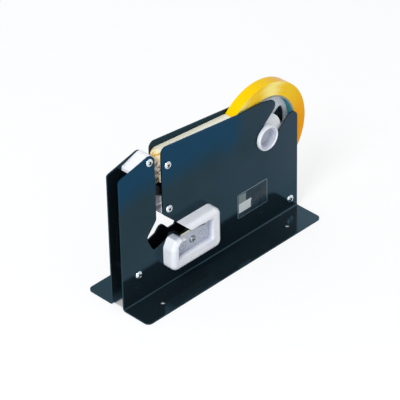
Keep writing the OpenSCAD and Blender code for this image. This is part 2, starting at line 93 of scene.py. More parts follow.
# %% [markdown]
# ## Writing shaders as sums
# A material is a graph of nodes, and a graph is hard to read in a script. The class below
# wraps one output socket, so that `1 - mask * 0.4` adds the Math nodes by itself. Colours
# must not pass through Math nodes, which would turn them grey, so they get Mix nodes.

# %% A socket that can be calculated with
class Signal:
    """One output socket; using it in an expression adds the nodes for that."""

    def __init__(self, tree, socket=None):
        self.tree = tree
        self.socket = socket

    def node(self, kind, settings=None, values=None, out=0):
        """Add a node: settings first, then a number, a colour or a link for each socket."""
        made = self.tree.nodes.new(kind)
        for key, value in (settings or {}).items():
            setattr(made, key, value)
        for key, value in (values or {}).items():
            if isinstance(value, Signal):
                self.tree.links.new(value.socket, made.inputs[key])
            else:
                made.inputs[key].default_value = value
        return Signal(self.tree, made.outputs[out])

    def math(self, operation, *values):
        return self.node("ShaderNodeMath", {"operation": operation}, dict(enumerate(values)))

    def __add__(self, other):
        return self.math("ADD", self, other)

    def __sub__(self, other):
        return self.math("SUBTRACT", self, other)

    def __rsub__(self, other):
        return self.math("SUBTRACT", other, self)

    def __mul__(self, other):
        return self.math("MULTIPLY", self, other)

    def __truediv__(self, other):
        return self.math("DIVIDE", self, other)

    def __abs__(self):
        return self.math("ABSOLUTE", self)

    __radd__ = __add__
    __rmul__ = __mul__


# %% Small tools on signals
def rgb(red, green, blue):
    """Linear colour, with alpha, from the 0-255 values of a colour picker."""
    def linear(v):
        v /= 255
        return v / 12.92 if v <= 0.04045 else ((v + 0.055) / 1.055) ** 2.4
    return (linear(red), linear(green), linear(blue), 1)


def ramp(signal, low, high):
    """0 at low, 1 at high, and a smooth curve between; high may be the smaller number."""
    return signal.node(
        "ShaderNodeMapRange", {"interpolation_type": "SMOOTHSTEP"}, {0: signal, 1: low, 2: high}
    )


def blend_colours(factor, a, b):
    """Colour a where factor is 0, colour b where it is 1."""
    return factor.node("ShaderNodeMix", {"data_type": "RGBA"}, {0: factor, 6: a, 7: b}, 2)


def object_point(g, centre=(0, 0, 0)):
    """Object coordinates, moved so that a pattern has its origin at centre."""
    point = g.node("ShaderNodeTexCoord", out="Object")
    return g.node("ShaderNodeVectorMath", {"operation": "SUBTRACT"}, {0: point, 1: centre})


def axes_of(g, point, axes="XYZ"):
    """The point's coordinates, one signal for each letter of axes."""
    return [g.node("ShaderNodeSeparateXYZ", None, {0: point}, axis) for axis in axes]


def noise(g, point, size, detail=2, stretch=(1, 1, 1)):
    """Cloudy value, 0 to 1 and mostly near 0.5, whose patches are about size wide."""
    scaled = g.node("ShaderNodeVectorMath", {"operation": "MULTIPLY"}, {0: point, 1: stretch})
    values = {"Vector": scaled, "Scale": 1 / size, "Detail": detail}
    return g.node("ShaderNodeTexNoise", None, values)


def normal_of(g):
    return g.node("ShaderNodeNewGeometry", out="Normal")


def bump(g, height, depth):
    """Shading normal for a relief whose height, from 0 to 1, is depth deep."""
    return g.node("ShaderNodeBump", None, {"Distance": depth, "Height": height})


def new_material(name, **sockets):
    """A material, a starting signal for its tree, and its surface shader."""
    made = bpy.data.materials.new(name)
    made.use_nodes = True
    shader = made.node_tree.nodes["Principled BSDF"]
    for key, value in sockets.items():
        shader.inputs[key.replace("_", " ")].default_value = value
    return made, Signal(made.node_tree), shader


def feed(shader, **signals):
    """Link signals to the surface shader's sockets."""
    for key, signal in signals.items():
        signal.tree.links.new(signal.socket, shader.inputs[key.replace("_", " ")])


def dress(node, material):
    """Give a CAD node a finish, in the slots that it already has."""
    for place in nodes[node].material_slots:
        place.material = material


# %% [markdown]
# ## Table, background and light
# The picture is a cut-out on white with only a breath of shadow. More lamp light would
# bleach the object, so the white is a property of the stage: rays that come straight from
# the camera, or from a mirror-like surface, see a glow mixed with some of the lit floor.
# Together they come to white, and the lit part is where the soft shadow shows. Light that
# bounces off the floor onto the object still comes from an ordinary pale surface. Under the
# feet the floor doesn't glow, because there it would shine through the screw holes.

# %% Stage
def seen_directly(g):
    """1 for rays of the camera, of reflections and of glass, 0 for bounced light."""
    path = g.node("ShaderNodeLightPath", out="Is Camera Ray")
    glossy = g.node("ShaderNodeLightPath", out="Is Glossy Ray")
    through = g.node("ShaderNodeLightPath", out="Is Transmission Ray")
    return g.math("MAXIMUM", path, g.math("MAXIMUM", glossy, through))


SHADOW_PART, GLOW = 0.4, 1.2
FEET_HALF = (0.11, 0.037)
floor_paint, g, shader = new_material("stage_floor", Roughness=0.9)
shader.inputs["Base Color"].default_value = rgb(226, 227, 229)
shader.inputs["Specular IOR Level"].default_value = 0
glow = g.node("ShaderNodeEmission", None, {"Strength": GLOW})
lit = Signal(g.tree, shader.outputs[0])
x, y = axes_of(g, g.node("ShaderNodeTexCoord", out="Object"), "XY")
outside = ramp(g.math("MAXIMUM", abs(x) - FEET_HALF[0], abs(y) - FEET_HALF[1]), -0.002, 0.0)
part = seen_directly(g) * outside * (1 - SHADOW_PART)
view = g.node("ShaderNodeMixShader", None, {0: part, 1: lit, 2: glow})
g.tree.links.new(view.socket, g.tree.nodes["Material Output"].inputs["Surface"])
bpy.ops.mesh.primitive_plane_add(size=9, location=(0, 0, -0.0002))
floor = bpy.context.object
floor.name = "floor"
floor.data.materials.append(floor_paint)
print("the floor keeps", SHADOW_PART, "of its shadow")

# %% Sky and lamps
SKY = 0.58
world = bpy.data.worlds.new("studio")
bpy.context.scene.world = world
world.use_nodes = True
g = Signal(world.node_tree)
plain = g.node("ShaderNodeBackground", None, {"Color": (0.96, 0.98, 1, 1), "Strength": SKY})
white = g.node("ShaderNodeBackground", None, {"Color": (1, 1, 1, 1), "Strength": 1})
view = g.node("ShaderNodeMixShader", None, {0: seen_directly(g), 1: plain, 2: white})
g.tree.links.new(view.socket, g.tree.nodes["World Output"].inputs["Surface"])


def lamp(name, place, size, level):
    """Square soft light aimed at the object; level is what it adds to a white surface."""
    made = bpy.data.objects.new(name, bpy.data.lights.new(name, "AREA"))
    made.data.size = size
    made.data.energy = level * math.pi ** 2 * place.length_squared
    made.location = place
    made.rotation_mode = "QUATERNION"
    made.rotation_quaternion = (-place).to_track_quat("-Z", "Y")
    bpy.context.collection.objects.link(made)
    return made


lamp("key", Vector((-1.5, -0.5, 1.8)), 0.8, 0.44)
lamp("left", Vector((-2.0, -0.5, 0.5)), 1.2, 0.22)
print("sky", SKY, "and two soft lamps")

# %% [markdown]
# ## Round the edges
# Nothing real has a perfectly sharp edge: a sheared sheet, a moulding and a lever all catch
# a thin line of light where two faces meet. A shader can fake that, but a mesh that is
# rounded looks right in any light. The CAD mesh is loose triangles, so a copy is joined,
# its flat faces are merged, and a Bevel modifier rounds what is sharper than 35 degrees.

# %% Pieces and the nodes that they stand in for
PLATE_EDGE, MOULDED_EDGE, SPINDLE_EDGE = 0.0004, 0.0003, 0.00025


def keep(name, mesh, material):
    """A plain mesh object with one material."""
    mesh.materials.clear()
    mesh.materials.append(material)
    made = bpy.data.objects.new(name, mesh)
    bpy.context.collection.objects.link(made)
    return made


def stand_in(piece, node):
    """The piece rides with the body of the CAD node that it replaces, and that node is hidden."""
    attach(piece, BODY[node])
    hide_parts(node)
    return piece


def baked(piece):
    """The object's mesh with its modifiers applied; the object itself is removed."""
    graph = bpy.context.evaluated_depsgraph_get()
    mesh = bpy.data.meshes.new_from_object(piece.evaluated_get(graph), depsgraph=graph)
    bpy.data.objects.remove(piece)
    return mesh


def tidy_mesh(piece, sharp):
    """Faces outwards, smooth, with an edge wherever the surface turns by more than sharp."""
    mesh = bmesh.new()
    mesh.from_mesh(piece.data)
    bmesh.ops.recalc_face_normals(mesh, faces=mesh.faces)
    for face in mesh.faces:
        face.smooth = True
    mesh.to_mesh(piece.data)
    mesh.free()
    piece.data.set_sharp_from_angle(angle=math.radians(sharp))


# %% Rounded copies of CAD nodes
def rounded(name, node, material, width, sharp=35):
    """Stand-in for a CAD node with its sharp edges rounded by width."""
    mesh = nodes[node].data.copy()
    joined = bmesh.new()
    joined.from_mesh(mesh)
    bmesh.ops.remove_doubles(joined, verts=joined.verts, dist=2e-6)
    bmesh.ops.dissolve_limit(
        joined, angle_limit=math.radians(0.6), verts=joined.verts, edges=joined.edges
    )
    for face in joined.faces:
        face.smooth = True
    joined.to_mesh(mesh)
    joined.free()
    rough = keep(name + "_sharp", mesh, material)
    bevel = rough.modifiers.new("edges", "BEVEL")
    bevel.width = width
    bevel.segments = 2
    bevel.limit_method = "ANGLE"
    bevel.angle_limit = math.radians(sharp)
    flat = rough.modifiers.new("normals", "WEIGHTED_NORMAL")
    flat.weight = 100
    flat.keep_sharp = True
    made = keep(name, baked(rough), material)
    print(name, "has", len(made.data.polygons), "faces")
    return stand_in(made, node)


# %% [markdown]
# ## Stoved enamel on the plates
# The plates are sprayed with a dark blue-grey enamel and baked. It is nearly a mirror, with
# the faint waviness of a sprayed coat, and it looks black where it mirrors something dark
# and steel blue where it mirrors the bright room. A plain painted colour would look flat,
# so the shader is six tenths metal, which mirrors the room in the paint's own dark colour,
# and a specular tint keeps the mirror blue at a slant. The colour also carries painted
# reflections: lighter to the right, a blue sheen high up on the front, the foot's reflection
# low down and a pale glare on the far end of the foot. Fine noise is the orange peel, and
# stretched noise leaves faint wipe marks in the roughness.

# %% Enamel
def enamel(name, seed, painted_sheen_strength):
    """Dark stoved enamel with painted reflections; the last argument sets how strongly the painted
    blue sheen shows high up.
    """
    made, g, shader = new_material(name, IOR=1.5, Metallic=0.6)
    shader.inputs["Specular Tint"].default_value = (0.16, 0.62, 1, 1)
    point = object_point(g, (seed, 0, 0))
    x, z = axes_of(g, g.node("ShaderNodeTexCoord", out="Object"), "XZ")
    drift = noise(g, point, 0.05, 1) - 0.5
    colour = blend_colours(ramp(drift, -0.2, 0.2), rgb(33, 44, 46), rgb(38, 48, 53))
    # painted reflection: lighter towards the right
    colour = blend_colours(ramp(x + drift * 0.05, 0.02, 0.11), colour, rgb(52, 59, 68))
    # painted reflection: a blue sheen high up on the front
    blue = ramp(z + drift * 0.03, 0.096, 0.128) * (1 - ramp(x, 0.022, 0.05))
    colour = blend_colours(blue * painted_sheen_strength, colour, rgb(5, 52, 78))
    # painted reflection of the foot, low down on the plate
    colour = blend_colours(ramp(z, 0.05, 0.02), colour, rgb(40, 54, 60))
    # painted reflection: a pale glare on the far end of the front foot
    painted_foot_glare = ramp(x, 0.05, 0.11) * ramp(z, 0.006, 0.003)
    colour = blend_colours(painted_foot_glare, colour, rgb(58, 70, 78))
    wipe = noise(g, point, 0.004, 2, (0.25, 1, 1.6))
    dust = ramp(noise(g, point, 0.0008, 1), 0.76, 0.84)
    colour = blend_colours(dust * 0.06, colour, rgb(150, 160, 170))
    peel = noise(g, point, 0.0016, 1)
    feed(shader, Base_Color=colour, Roughness=0.06 + wipe * 0.1)
    feed(shader, Normal=bump(g, peel, 0.000012))
    return made


rounded("plate_front", "front_plate", enamel("enamel_front", 0.3, 1), PLATE_EDGE)
rounded("plate_rear", "rear_plate", enamel("enamel_back", 0.7, 0.15), PLATE_EDGE)
dress("lever_pin", enamel("enamel_pin", 1.1, 1))

# %% [markdown]
# ## Moulded plastics
# The white and cream pieces are injection moulded. What gives a moulding away is slight:
# the colour drifts a little with the wall behind it, the surface has a fine matt grain from
# the polished mould, and dust sits where fingers do not reach. One recipe serves most of
# them, with a colour for the body and one for the shaded drift.

# %% Plastic
GRAIN, GRAIN_DEPTH = 0.0004, 0.00001


def plastic(name, body, shade, gloss):
    """Moulded plastic; gloss is its roughness."""
    made, g, shader = new_material(name, IOR=1.46)
    point = object_point(g)
    drift = ramp(noise(g, point, 0.02, 2), 0.3, 0.75)
    speck = ramp(noise(g, point, 0.0009, 1), 0.72, 0.8)
    colour = blend_colours(drift, body, shade)
    colour = blend_colours(speck * 0.04, colour, rgb(120, 116, 112))
    feed(shader, Base_Color=colour, Roughness=gloss + (noise(g, point, 0.003, 2) - 0.5) * 0.2)
    feed(shader, Normal=bump(g, noise(g, point, GRAIN, 3), GRAIN_DEPTH))
    return made


rest_white = plastic("rest_moulding", rgb(243, 244, 247), rgb(234, 236, 243), 0.4)
guide_cream = plastic("cream_moulding", rgb(236, 231, 214), rgb(228, 221, 202), 0.4)
wheel_white = plastic("wheel_moulding", rgb(248, 250, 252), rgb(238, 243, 247), 0.3)
tube_white = plastic("white_spindle", rgb(234, 237, 245), rgb(224, 228, 240), 0.28)
rounded("rest_block", "tape_rest", rest_white, MOULDED_EDGE)
rounded("guide_block", "tape_guide", guide_cream, MOULDED_EDGE)
rounded("wheel_body", "hub_wheel", wheel_white, MOULDED_EDGE)
rounded("axle_tube", "spindle_tube", tube_white, SPINDLE_EDGE)

# %% [markdown]
# The trimmer's housing and the spindle's caps have a hollow on the side that shows, which
# is greyed with painted shade. Two masks find the hollow: how far a point lies inside the
# rim, round or square, and how deep it lies behind the front face. In the housing a thin
# dark line of painted shade marks the slit that holds the blade, which lies a little slanted.

# %% Plastic with painted shade in its hollow
BLADE_TILT = math.tan(math.radians(8.3))


def plastic_with_shaded_hollow(name, node, rim, inset, depth, shade):
    """Pale plastic whose hollow, inside the rim and behind the front face, is greyed by painted
    shade.
    """
    made, g, shader = new_material(name, IOR=1.46)
    low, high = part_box(node)
    centre, half = (low + high) / 2, (high - low) / 2
    front = low.y if abs(low.y) > abs(high.y) else high.y
    point = object_point(g)
    x, y, z = axes_of(g, point)
    from_x, from_z = x - centre.x, z - centre.z
    if rim == "round":
        across = g.math("SQRT", from_x * from_x + from_z * from_z) - half.x
    else:
        across = g.math("MAXIMUM", abs(from_x) - half.x, abs(from_z) - half.z)
    inside = 1 - ramp(across, -inset - 0.0004, -inset)
    sunk = ramp(abs(y - front), depth[0], depth[1])
    drift = ramp(noise(g, point, 0.012, 2), 0.3, 0.75)
    colour = blend_colours(drift, rgb(244, 246, 251), rgb(234, 237, 246))
    # painted shade: the hollow is greyed
    colour = blend_colours(inside * sunk, colour, shade)
    # painted shade: a thin dark line along the slit above the blade
    if rim == "square":
        blade_low, blade_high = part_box("trimmer_blade")
        above = z - blade_high.z + (x - blade_low.x) * BLADE_TILT
        painted_slit_shade = 1 - ramp(abs(above - 0.0003), 0.0004, 0.0008)
        painted_slit_shade = painted_slit_shade * ramp(y, front + 0.0035, front + 0.004) * inside
        painted_slit_shade = painted_slit_shade * (1 - ramp(x, blade_high.x, blade_high.x + 0.0006))
        colour = blend_colours(painted_slit_shade * 0.85, colour, rgb(70, 76, 84))
    feed(shader, Base_Color=colour, Roughness=0.3 + (noise(g, point, 0.003, 2) - 0.5) * 0.2)
    feed(shader, Normal=bump(g, noise(g, point, GRAIN, 3), GRAIN_DEPTH))
    return made


finish = plastic_with_shaded_hollow(
    "white_moulding", "trimmer_housing", "square", 0.0062, (0.001, 0.0058), rgb(190, 196, 210)
)
rounded("trimmer_shell", "trimmer_housing", finish, MOULDED_EDGE, 30)
for node in ("spindle_cap_front", "spindle_cap_rear"):
    finish = plastic_with_shaded_hollow(
        "white_" + node, node, "round", 0.0014, (0.0003, 0.0016), rgb(200, 205, 218)
    )
    rounded(node.replace("spindle", "axle"), node, finish, SPINDLE_EDGE)

# %% [markdown]
# The neck guide is the same plastic in grey. The slanting band that shows in the slot is
# pale and smoother, with a darker band of painted shadow under it. The lever is blackened
# steel, so dark that only its grain and its rounded edges tell it from a hole.

# %% Neck guide and lever
def banded_grey_plastic(name):
    """Grey plastic with a pale, smoother slanting band, painted shadow in a band below it, and a
    pale front.
    """
    made, g, shader = new_material(name, IOR=1.46)
    point = object_point(g)
    y, z = axes_of(g, point, "YZ")
    height = z + y * 0.8 + (noise(g, point, 0.004) - 0.5) * 0.002
    pale_band = ramp(height, 0.0845, 0.0853) - ramp(height, 0.0863, 0.0872)
    # painted shadow: a darker slanting band under the pale one
    dark = ramp(height, 0.0800, 0.0812) - ramp(height, 0.0838, 0.0848)
    front = (1 - ramp(y, -0.0058, -0.0050)) * (1 - ramp(z, 0.0860, 0.0890))
    drift = noise(g, point, 0.006, 3)
    colour = blend_colours(ramp(drift, 0.3, 0.7), rgb(198, 198, 208), rgb(178, 179, 192))
    colour = blend_colours(dark * 0.85, colour, rgb(118, 114, 132))
    colour = blend_colours(g.math("MAXIMUM", pale_band, front) * 0.9, colour, rgb(246, 246, 250))
    feed(shader, Base_Color=colour, Roughness=0.45 - pale_band * 0.15)
    feed(shader, Normal=bump(g, noise(g, point, 0.0005, 2), GRAIN_DEPTH))
    return made


def blackened(name):
    """Steel with a black oxide skin."""
    made, g, shader = new_material(name, IOR=1.22)
    point = object_point(g)
    drift = noise(g, point, 0.008, 3)
    colour = blend_colours(ramp(drift, 0.3, 0.75), rgb(8, 13, 13), rgb(18, 24, 24))
    feed(shader, Base_Color=colour, Roughness=0.35 + drift * 0.2)
    feed(shader, Normal=bump(g, noise(g, point, 0.0003, 2), GRAIN_DEPTH))
    return made


rounded("guide_neck", "neck_guide", banded_grey_plastic("grey_moulding"), MOULDED_EDGE)
rounded("lever_arm", "press_lever", blackened("lever_black"), MOULDED_EDGE)

# %% [markdown]
# ## Metals
# Zinc plate, turned steel and blade steel differ in their marks more than in their colour:
# plate is cloudy, turning leaves rings round an axis, and grinding leaves lines along an
# edge. Each is a metal with one kind of stripe in its roughness and its relief. A mesh may
# carry an attribute that marks its recesses; there the metal is painted dark as shade.

# %% Metal
def metal(name, light, dark, gloss, stretch=(1, 1, 1), centre=None):
    """Bare or plated metal with streaks; with a centre the streaks are rings round Y."""
    made, g, shader = new_material(name, Metallic=1)
    point = object_point(g, centre or (0, 0, 0))
    cloud = noise(g, point, 0.003, 3)
    marks = noise(g, point, 0.0004, 2, stretch)
    if centre:
        x, y, z = axes_of(g, point)
        radius = g.math("SQRT", x * x + z * z)
        rings = g.node("ShaderNodeCombineXYZ", None, {0: radius * 2600, 1: y * 2600})
        marks = g.node("ShaderNodeTexNoise", None, {"Vector": rings, "Scale": 1, "Detail": 2})
    colour = blend_colours(ramp(cloud, 0.35, 0.7), light, dark)
    # painted shade: the recesses that a mesh marks are dark
    painted_recess_shade = ramp(g.node("ShaderNodeAttribute", {"attribute_name": "painted_recess_shade"}, out="Fac"), 0.0, 0.5)
    colour = blend_colours(painted_recess_shade, colour, rgb(18, 30, 34))
    feed(shader, Base_Color=colour, Roughness=gloss + (marks - 0.5) * 0.25)
    feed(shader, Normal=bump(g, marks, 0.00001))
    return made


def middle(node):
    low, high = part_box(node)
    return (low + high) / 2


for node in ("spacer_left", "spacer_right"):
    axis = tuple(middle(node))
    dress(node, metal("turned_" + node, rgb(196, 199, 203), rgb(170, 174, 180), 0.3, centre=axis))
dress("trimmer_nut", metal("nut_plate", rgb(208, 212, 216), rgb(180, 186, 192), 0.3))
knife_steel = metal("knife_steel", rgb(204, 208, 212), rgb(176, 180, 186), 0.25, (0.2, 1, 1))
dress("tape_knife", knife_steel)
dress("trimmer_screw", metal("dark_zinc", rgb(168, 178, 184), rgb(110, 118, 126), 0.32))

# %% [markdown]
# Only a strip along the trimmer blade's edge shows bright steel; above it the blade is
# painted near-black as the shade of the slit that holds it. The strip follows the blade's
# own slant, measured down from its top.

# %% Trimmer blade
def ground_blade(name):
    """Blade of bare steel along its lower strip and its ground edge, painted near-black above as
    shade.
    """
    made, g, shader = new_material(name, Metallic=0.7)
    low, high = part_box("trimmer_blade")
    x, z = axes_of(g, object_point(g, (low.x, 0, high.z)), "XZ")
    lines = noise(g, object_point(g), 0.0004, 2, (0.1, 1, 1))
    under = 0 - z - x * BLADE_TILT
    bright = ramp(under + x * 0.16, 0.0011, 0.0015)
    # painted shade: near-black above the bright strip
    colour = blend_colours(bright, rgb(8, 12, 12), rgb(222, 220, 196))
    feed(shader, Base_Color=colour, Roughness=0.35 + (lines - 0.5) * 0.2)
    feed(shader, Normal=bump(g, lines, 0.00001))
    return made


dress("trimmer_blade", ground_blade("blade_steel"))

# %% [markdown]
# ## Ten screws from one
# Ten pan-head screws hold the plates. One is made properly, by spinning a profile that has
# the domed head and the thread, and by cutting a tapered cross out of it. Geometry Nodes
# then sets copies of it on points, each turned by a random angle, as hands leave them.

# %% Spinning a profile
def spun(name, profile, sides):
    """Closed shape from a profile of (radius, y), turned round the Y axis."""
    mesh = bmesh.new()
    line = [mesh.verts.new((r, y, 0)) for r, y in profile]
    edges = [mesh.edges.new(pair) for pair in zip(line, line[1:])]
    bmesh.ops.spin(
        mesh, geom=line + edges, cent=(0, 0, 0), axis=(0, 1, 0), angle=math.tau, steps=sides
    )
    bmesh.ops.remove_doubles(mesh, verts=mesh.verts, dist=1e-6)
    bmesh.ops.recalc_face_normals(mesh, faces=mesh.faces)
    for face in mesh.faces:
        face.smooth = True
    made = bpy.data.meshes.new(name)
    mesh.to_mesh(made)
    mesh.free()
    return made


# %% The tool that cuts the cross
def cross_cutter(size, depth):
    """Two wedges that cross: narrow at the bottom of the recess and wide at the top."""
    mesh = bmesh.new()
    for across in (0, math.pi / 2):
        corners = []
        for y, long, wide in ((-0.0004, 1.15, 0.32), (depth, 0.6, 0.18)):
            for a, b in ((-1, -1), (1, -1), (1, 1), (-1, 1)):
                corners.append(mesh.verts.new((a * long * size, y, b * wide * size)))
        low, high = corners[:4], corners[4:]
        mesh.faces.new(low[::-1])
        mesh.faces.new(high)
        for i in range(4):
            j = (i + 1) % 4
            mesh.faces.new([low[i], low[j], high[j], high[i]])
        bmesh.ops.rotate(mesh, verts=corners, matrix=Matrix.Rotation(across, 3, "Y"))
    bmesh.ops.recalc_face_normals(mesh, faces=mesh.faces)
    made = bpy.data.meshes.new("cross")
    mesh.to_mesh(made)
    mesh.free()
    return made


# %% One screw
DOME = [
    (0, -1), (0.36, -0.985), (0.62, -0.93), (0.8, -0.8),
    (0.93, -0.6), (0.99, -0.36), (1, -0.16), (0.97, 0),
]
PITCH, ROOT = 0.0007, 0.84


def screw_mesh(head, high, shank, length, material):
    """Pan-head screw: its head stands out along -Y from y = 0, its shank goes to +Y."""
    profile = [(r * head, y * high) for r, y in DOME]
    y = 0.0
    while y < length - 2 * PITCH:
        profile += [(shank, y), (shank * 0.99, y + PITCH * 0.3), (shank * ROOT, y + PITCH * 0.65)]
        y += PITCH
    profile += [(shank * ROOT, length - PITCH), (shank * 0.5, length), (0, length)]
    blank = keep("screw_blank", spun("screw_blank", profile, 28), material)
    cutter = keep("screw_cutter", cross_cutter(head * 0.6, high * 0.65), material)
    cutter.data.transform(Matrix.Translation((0, -high, 0)))
    cut = blank.modifiers.new("recess", "BOOLEAN")
    cut.object = cutter
    cut.solver = "EXACT"
    cut.use_self = True
    mesh = baked(blank)
    bpy.data.objects.remove(cutter)
    mesh.set_sharp_from_angle(angle=math.radians(38))
    # mark the cross recess, where the metal's colour paints shade
    painted_recess_shade = mesh.attributes.new("painted_recess_shade", "FLOAT", "POINT")
    for i, corner in enumerate(mesh.vertices):
        reach = math.hypot(corner.co.x, corner.co.z)
        painted_recess_shade.data[i].value = float(reach < 0.75 * head and -0.75 * high < corner.co.y < -0.1 * high)
    print("one screw has", len(mesh.polygons), "faces")
    return mesh


zinc = metal("zinc_front", rgb(226, 232, 236), rgb(186, 198, 206), 0.2)
zinc_back = metal("zinc_back", rgb(226, 232, 236), rgb(186, 198, 206), 0.2)

# %% [markdown]
# A Geometry Nodes tree is a recipe with named inputs. The helper below builds the inputs,
# and the next one runs a recipe on a starting mesh: it sets each input by its identifier,
# takes the evaluated result as a plain mesh, and throws the modifier away.

# %% Recipes for Geometry Nodes
KINDS = {
    float: "NodeSocketFloat",
    int: "NodeSocketInt",
    bpy.types.Object: "NodeSocketObject",
    bpy.types.Material: "NodeSocketMaterial",
}


def recipe(name, inputs):
    """An empty tree with a geometry input, one named input for each value, and an output."""
    tree = bpy.data.node_groups.new(name, "GeometryNodeTree")
    face = tree.interface
    face.new_socket("Geometry", in_out="INPUT", socket_type="NodeSocketGeometry")
    face.new_socket("Geometry", in_out="OUTPUT", socket_type="NodeSocketGeometry")
    for key, value in inputs.items():
        kind = next(k for t, k in KINDS.items() if isinstance(value, t))
        face.new_socket(key, in_out="INPUT", socket_type=kind)
    g = Signal(tree)
    source = tree.nodes.new("NodeGroupInput")
    wires = {socket.name: Signal(tree, socket) for socket in source.outputs if socket.name}
    return g, wires


def finish_recipe(shape, material):
    """End of every recipe: real geometry, one material, and the output."""
    real = shape.node("GeometryNodeRealizeInstances", None, {"Geometry": shape})
    painted = real.node("GeometryNodeSetMaterial", None, {"Geometry": real, "Material": material})
    out = shape.tree.nodes.new("NodeGroupOutput")
    shape.tree.links.new(painted.socket, out.inputs[0])


# %% Running a recipe
def cook(name, g, inputs, start, material):
    """Run a recipe on a starting mesh and return the plain result."""
    raw = bpy.data.objects.new(name + "_start", start)
    bpy.context.collection.objects.link(raw)
    step = raw.modifiers.new("recipe", "NODES")
    step.node_group = g.tree
    for item in g.tree.interface.items_tree:
        if item.in_out == "INPUT" and item.name in inputs:
            step[item.identifier] = inputs[item.name]
    made = keep(name, baked(raw), material)
    print(name, "has", len(made.data.polygons), "faces")
    return made


# %% [markdown]
# The CAD node of a plate's screws is five separate solids in one mesh. Vertices that lie
# within a screw's reach of each other belong together, and the middle of each such group is
# where that screw goes, so no place is written down twice.

# %% Where the screws are
def islands(node, reach):
    """Middle of each separate solid of a node, from vertices within reach of its first."""
    groups = []
    for vertex in nodes[node].data.vertices:
        for group in groups:
            if (vertex.co - group[0]).length < reach:
                group.append(vertex.co)
                break
        else:
            groups.append([vertex.co])
    middles = []
    for group in groups:
        low = Vector(min(c[i] for c in group) for i in range(3))
        high = Vector(max(c[i] for c in group) for i in range(3))
        middles.append((low + high) / 2)
    return middles


def points(name, places):
    made = bpy.data.meshes.new(name)
    made.from_pydata([tuple(p) for p in places], [], [])
    return made


# %% Screws on their points
front_low, front_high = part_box("side_screws_front")
HEAD_R, HEAD_H, SHANK_R, REACH = 0.0039, 0.0024, 0.0019, 0.012
seat_y = front_low.y + HEAD_H
shank = front_high.y - seat_y
pattern = keep("screw_pattern", screw_mesh(HEAD_R, HEAD_H, SHANK_R, shank, zinc), zinc)
sizes = {"Screw": pattern, "Facing": 0.0, "Seed": 4, "Finish": zinc}
g, wire = recipe("screws on points", sizes)
copy = g.node("GeometryNodeObjectInfo", None, {"Object": wire["Screw"]}, "Geometry")
values = {2: 0.0, 3: math.tau, "Seed": wire["Seed"]}
turn = g.node("FunctionNodeRandomValue", {"data_type": "FLOAT"}, values, 1)
spin = g.node("ShaderNodeCombineXYZ", None, {1: turn, 2: wire["Facing"]})
values = {"Points": wire["Geometry"], "Instance": copy, "Rotation": spin}
placed = g.node("GeometryNodeInstanceOnPoints", None, values)
finish_recipe(placed, wire["Finish"])
for node, side, facing, seed, finish in (
    ("side_screws_front", 1, 0.0, 4, zinc),
    ("side_screws_rear", -1, math.pi, 9, zinc_back),
):
    places = [(p.x, side * seat_y, p.z) for p in islands(node, REACH)]
    sizes.update(Facing=facing, Seed=seed, Finish=finish)
    made = cook(node.replace("side_", ""), g, sizes, points(node, places), finish)
    stand_in(made, node)
bpy.data.objects.remove(pattern)

# %% [markdown]
# ## The roll of tape
# A roll is one ribbon wound a few hundred times. Its sides are never flat: each turn sits a
# hair prouder or deeper than its neighbour, and those rings are what makes the bright fan of
# light on a roll's side. A grid is bent round the wheel: its columns run over the left side,
# the tread and the right side, and a random value moves each ring in or out a little. The
# side is part metal, since stacked film edges throw light back as a brushed metal does.
# Its colour follows the angle round the wheel: two pale fans of painted highlight, and painted
# shade in a deeper orange away from the sunny side, each given by the angle where it is strongest.

# %% Yellow tape
roll_low, roll_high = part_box("tape_roll")
SEAT = (roll_low + roll_high) / 2
OUTER = (roll_high.x - roll_low.x) / 2
WIDTH = roll_high.y - roll_low.y
core_low, core_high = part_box("tape_core")
CORE_OUT = (core_high.x - core_low.x) / 2
FANS = ((1.35, 0.4), (2.3, 0.45))
# angles of the sunny side and of the side in painted shade
SUNNY, SHADE_ANGLE = 2.6, 2.4


def tape_yellow(name):
    """Yellow film: a tread and sides of fine rings, with painted highlights in two pale fans and
    painted orange shade away from the sunny side.
    """
    made, g, shader = new_material(name, IOR=1.2)
    shader.inputs["Specular Tint"].default_value = (1, 0.8, 0.2, 1)
    shader.inputs["Coat Weight"].default_value = 0.03
    shader.inputs["Coat Roughness"].default_value = 0.12
    point = object_point(g, tuple(SEAT))
    x, z = axes_of(g, point, "XZ")
    radius = g.math("SQRT", x * x + z * z)
    side = ramp(abs(axes_of(g, normal_of(g), "Y")[0]), 0.5, 0.8)
    rings, broad = [
        g.node(
            "ShaderNodeTexNoise", {"noise_dimensions": "1D"},
            {"W": radius * rate, "Scale": 1, "Detail": detail},
        )
        for rate, detail in ((2500, 3), (260, 1))
    ]
    angle = g.math("ARCTAN2", z, x)
    wobble = (broad - 0.5) * 0.25
    fans = [1 - ramp(abs(angle - a + wobble), 0.02, spread) for a, spread in FANS]
    glint = g.math("MAXIMUM", *fans)
    sunny, shade_side = [(x * math.cos(a) + z * math.sin(a)) / radius for a in (SUNNY, SHADE_ANGLE)]
    tread = blend_colours(noise(g, point, 0.02, 2), rgb(255, 214, 0), rgb(255, 202, 0))
    # painted shade: the tread turns orange away from the sunny side
    tread = blend_colours(ramp(sunny, 0.45, -0.18), tread, rgb(250, 176, 4))
    edge = blend_colours(ramp(rings, 0.2, 0.8), rgb(255, 220, 60), rgb(254, 198, 20))
    # painted highlight: the two pale fans on the side
    edge = blend_colours(glint * 0.95, edge, rgb(255, 240, 150))
    # painted shade: the side turns a deeper orange away from the sunny side
    edge = blend_colours(ramp(shade_side, 0.07, -0.9) * 0.8, edge, rgb(250, 156, 8))
    colour = blend_colours(side, tread, edge)
    feed(shader, Base_Color=colour, Metallic=side * (0.3 + glint * 0.4))
    feed(shader, Roughness=0.24 + side * 0.16 + rings * side * 0.1)
    feed(shader, Normal=bump(g, rings * side, 0.00004))
    return made


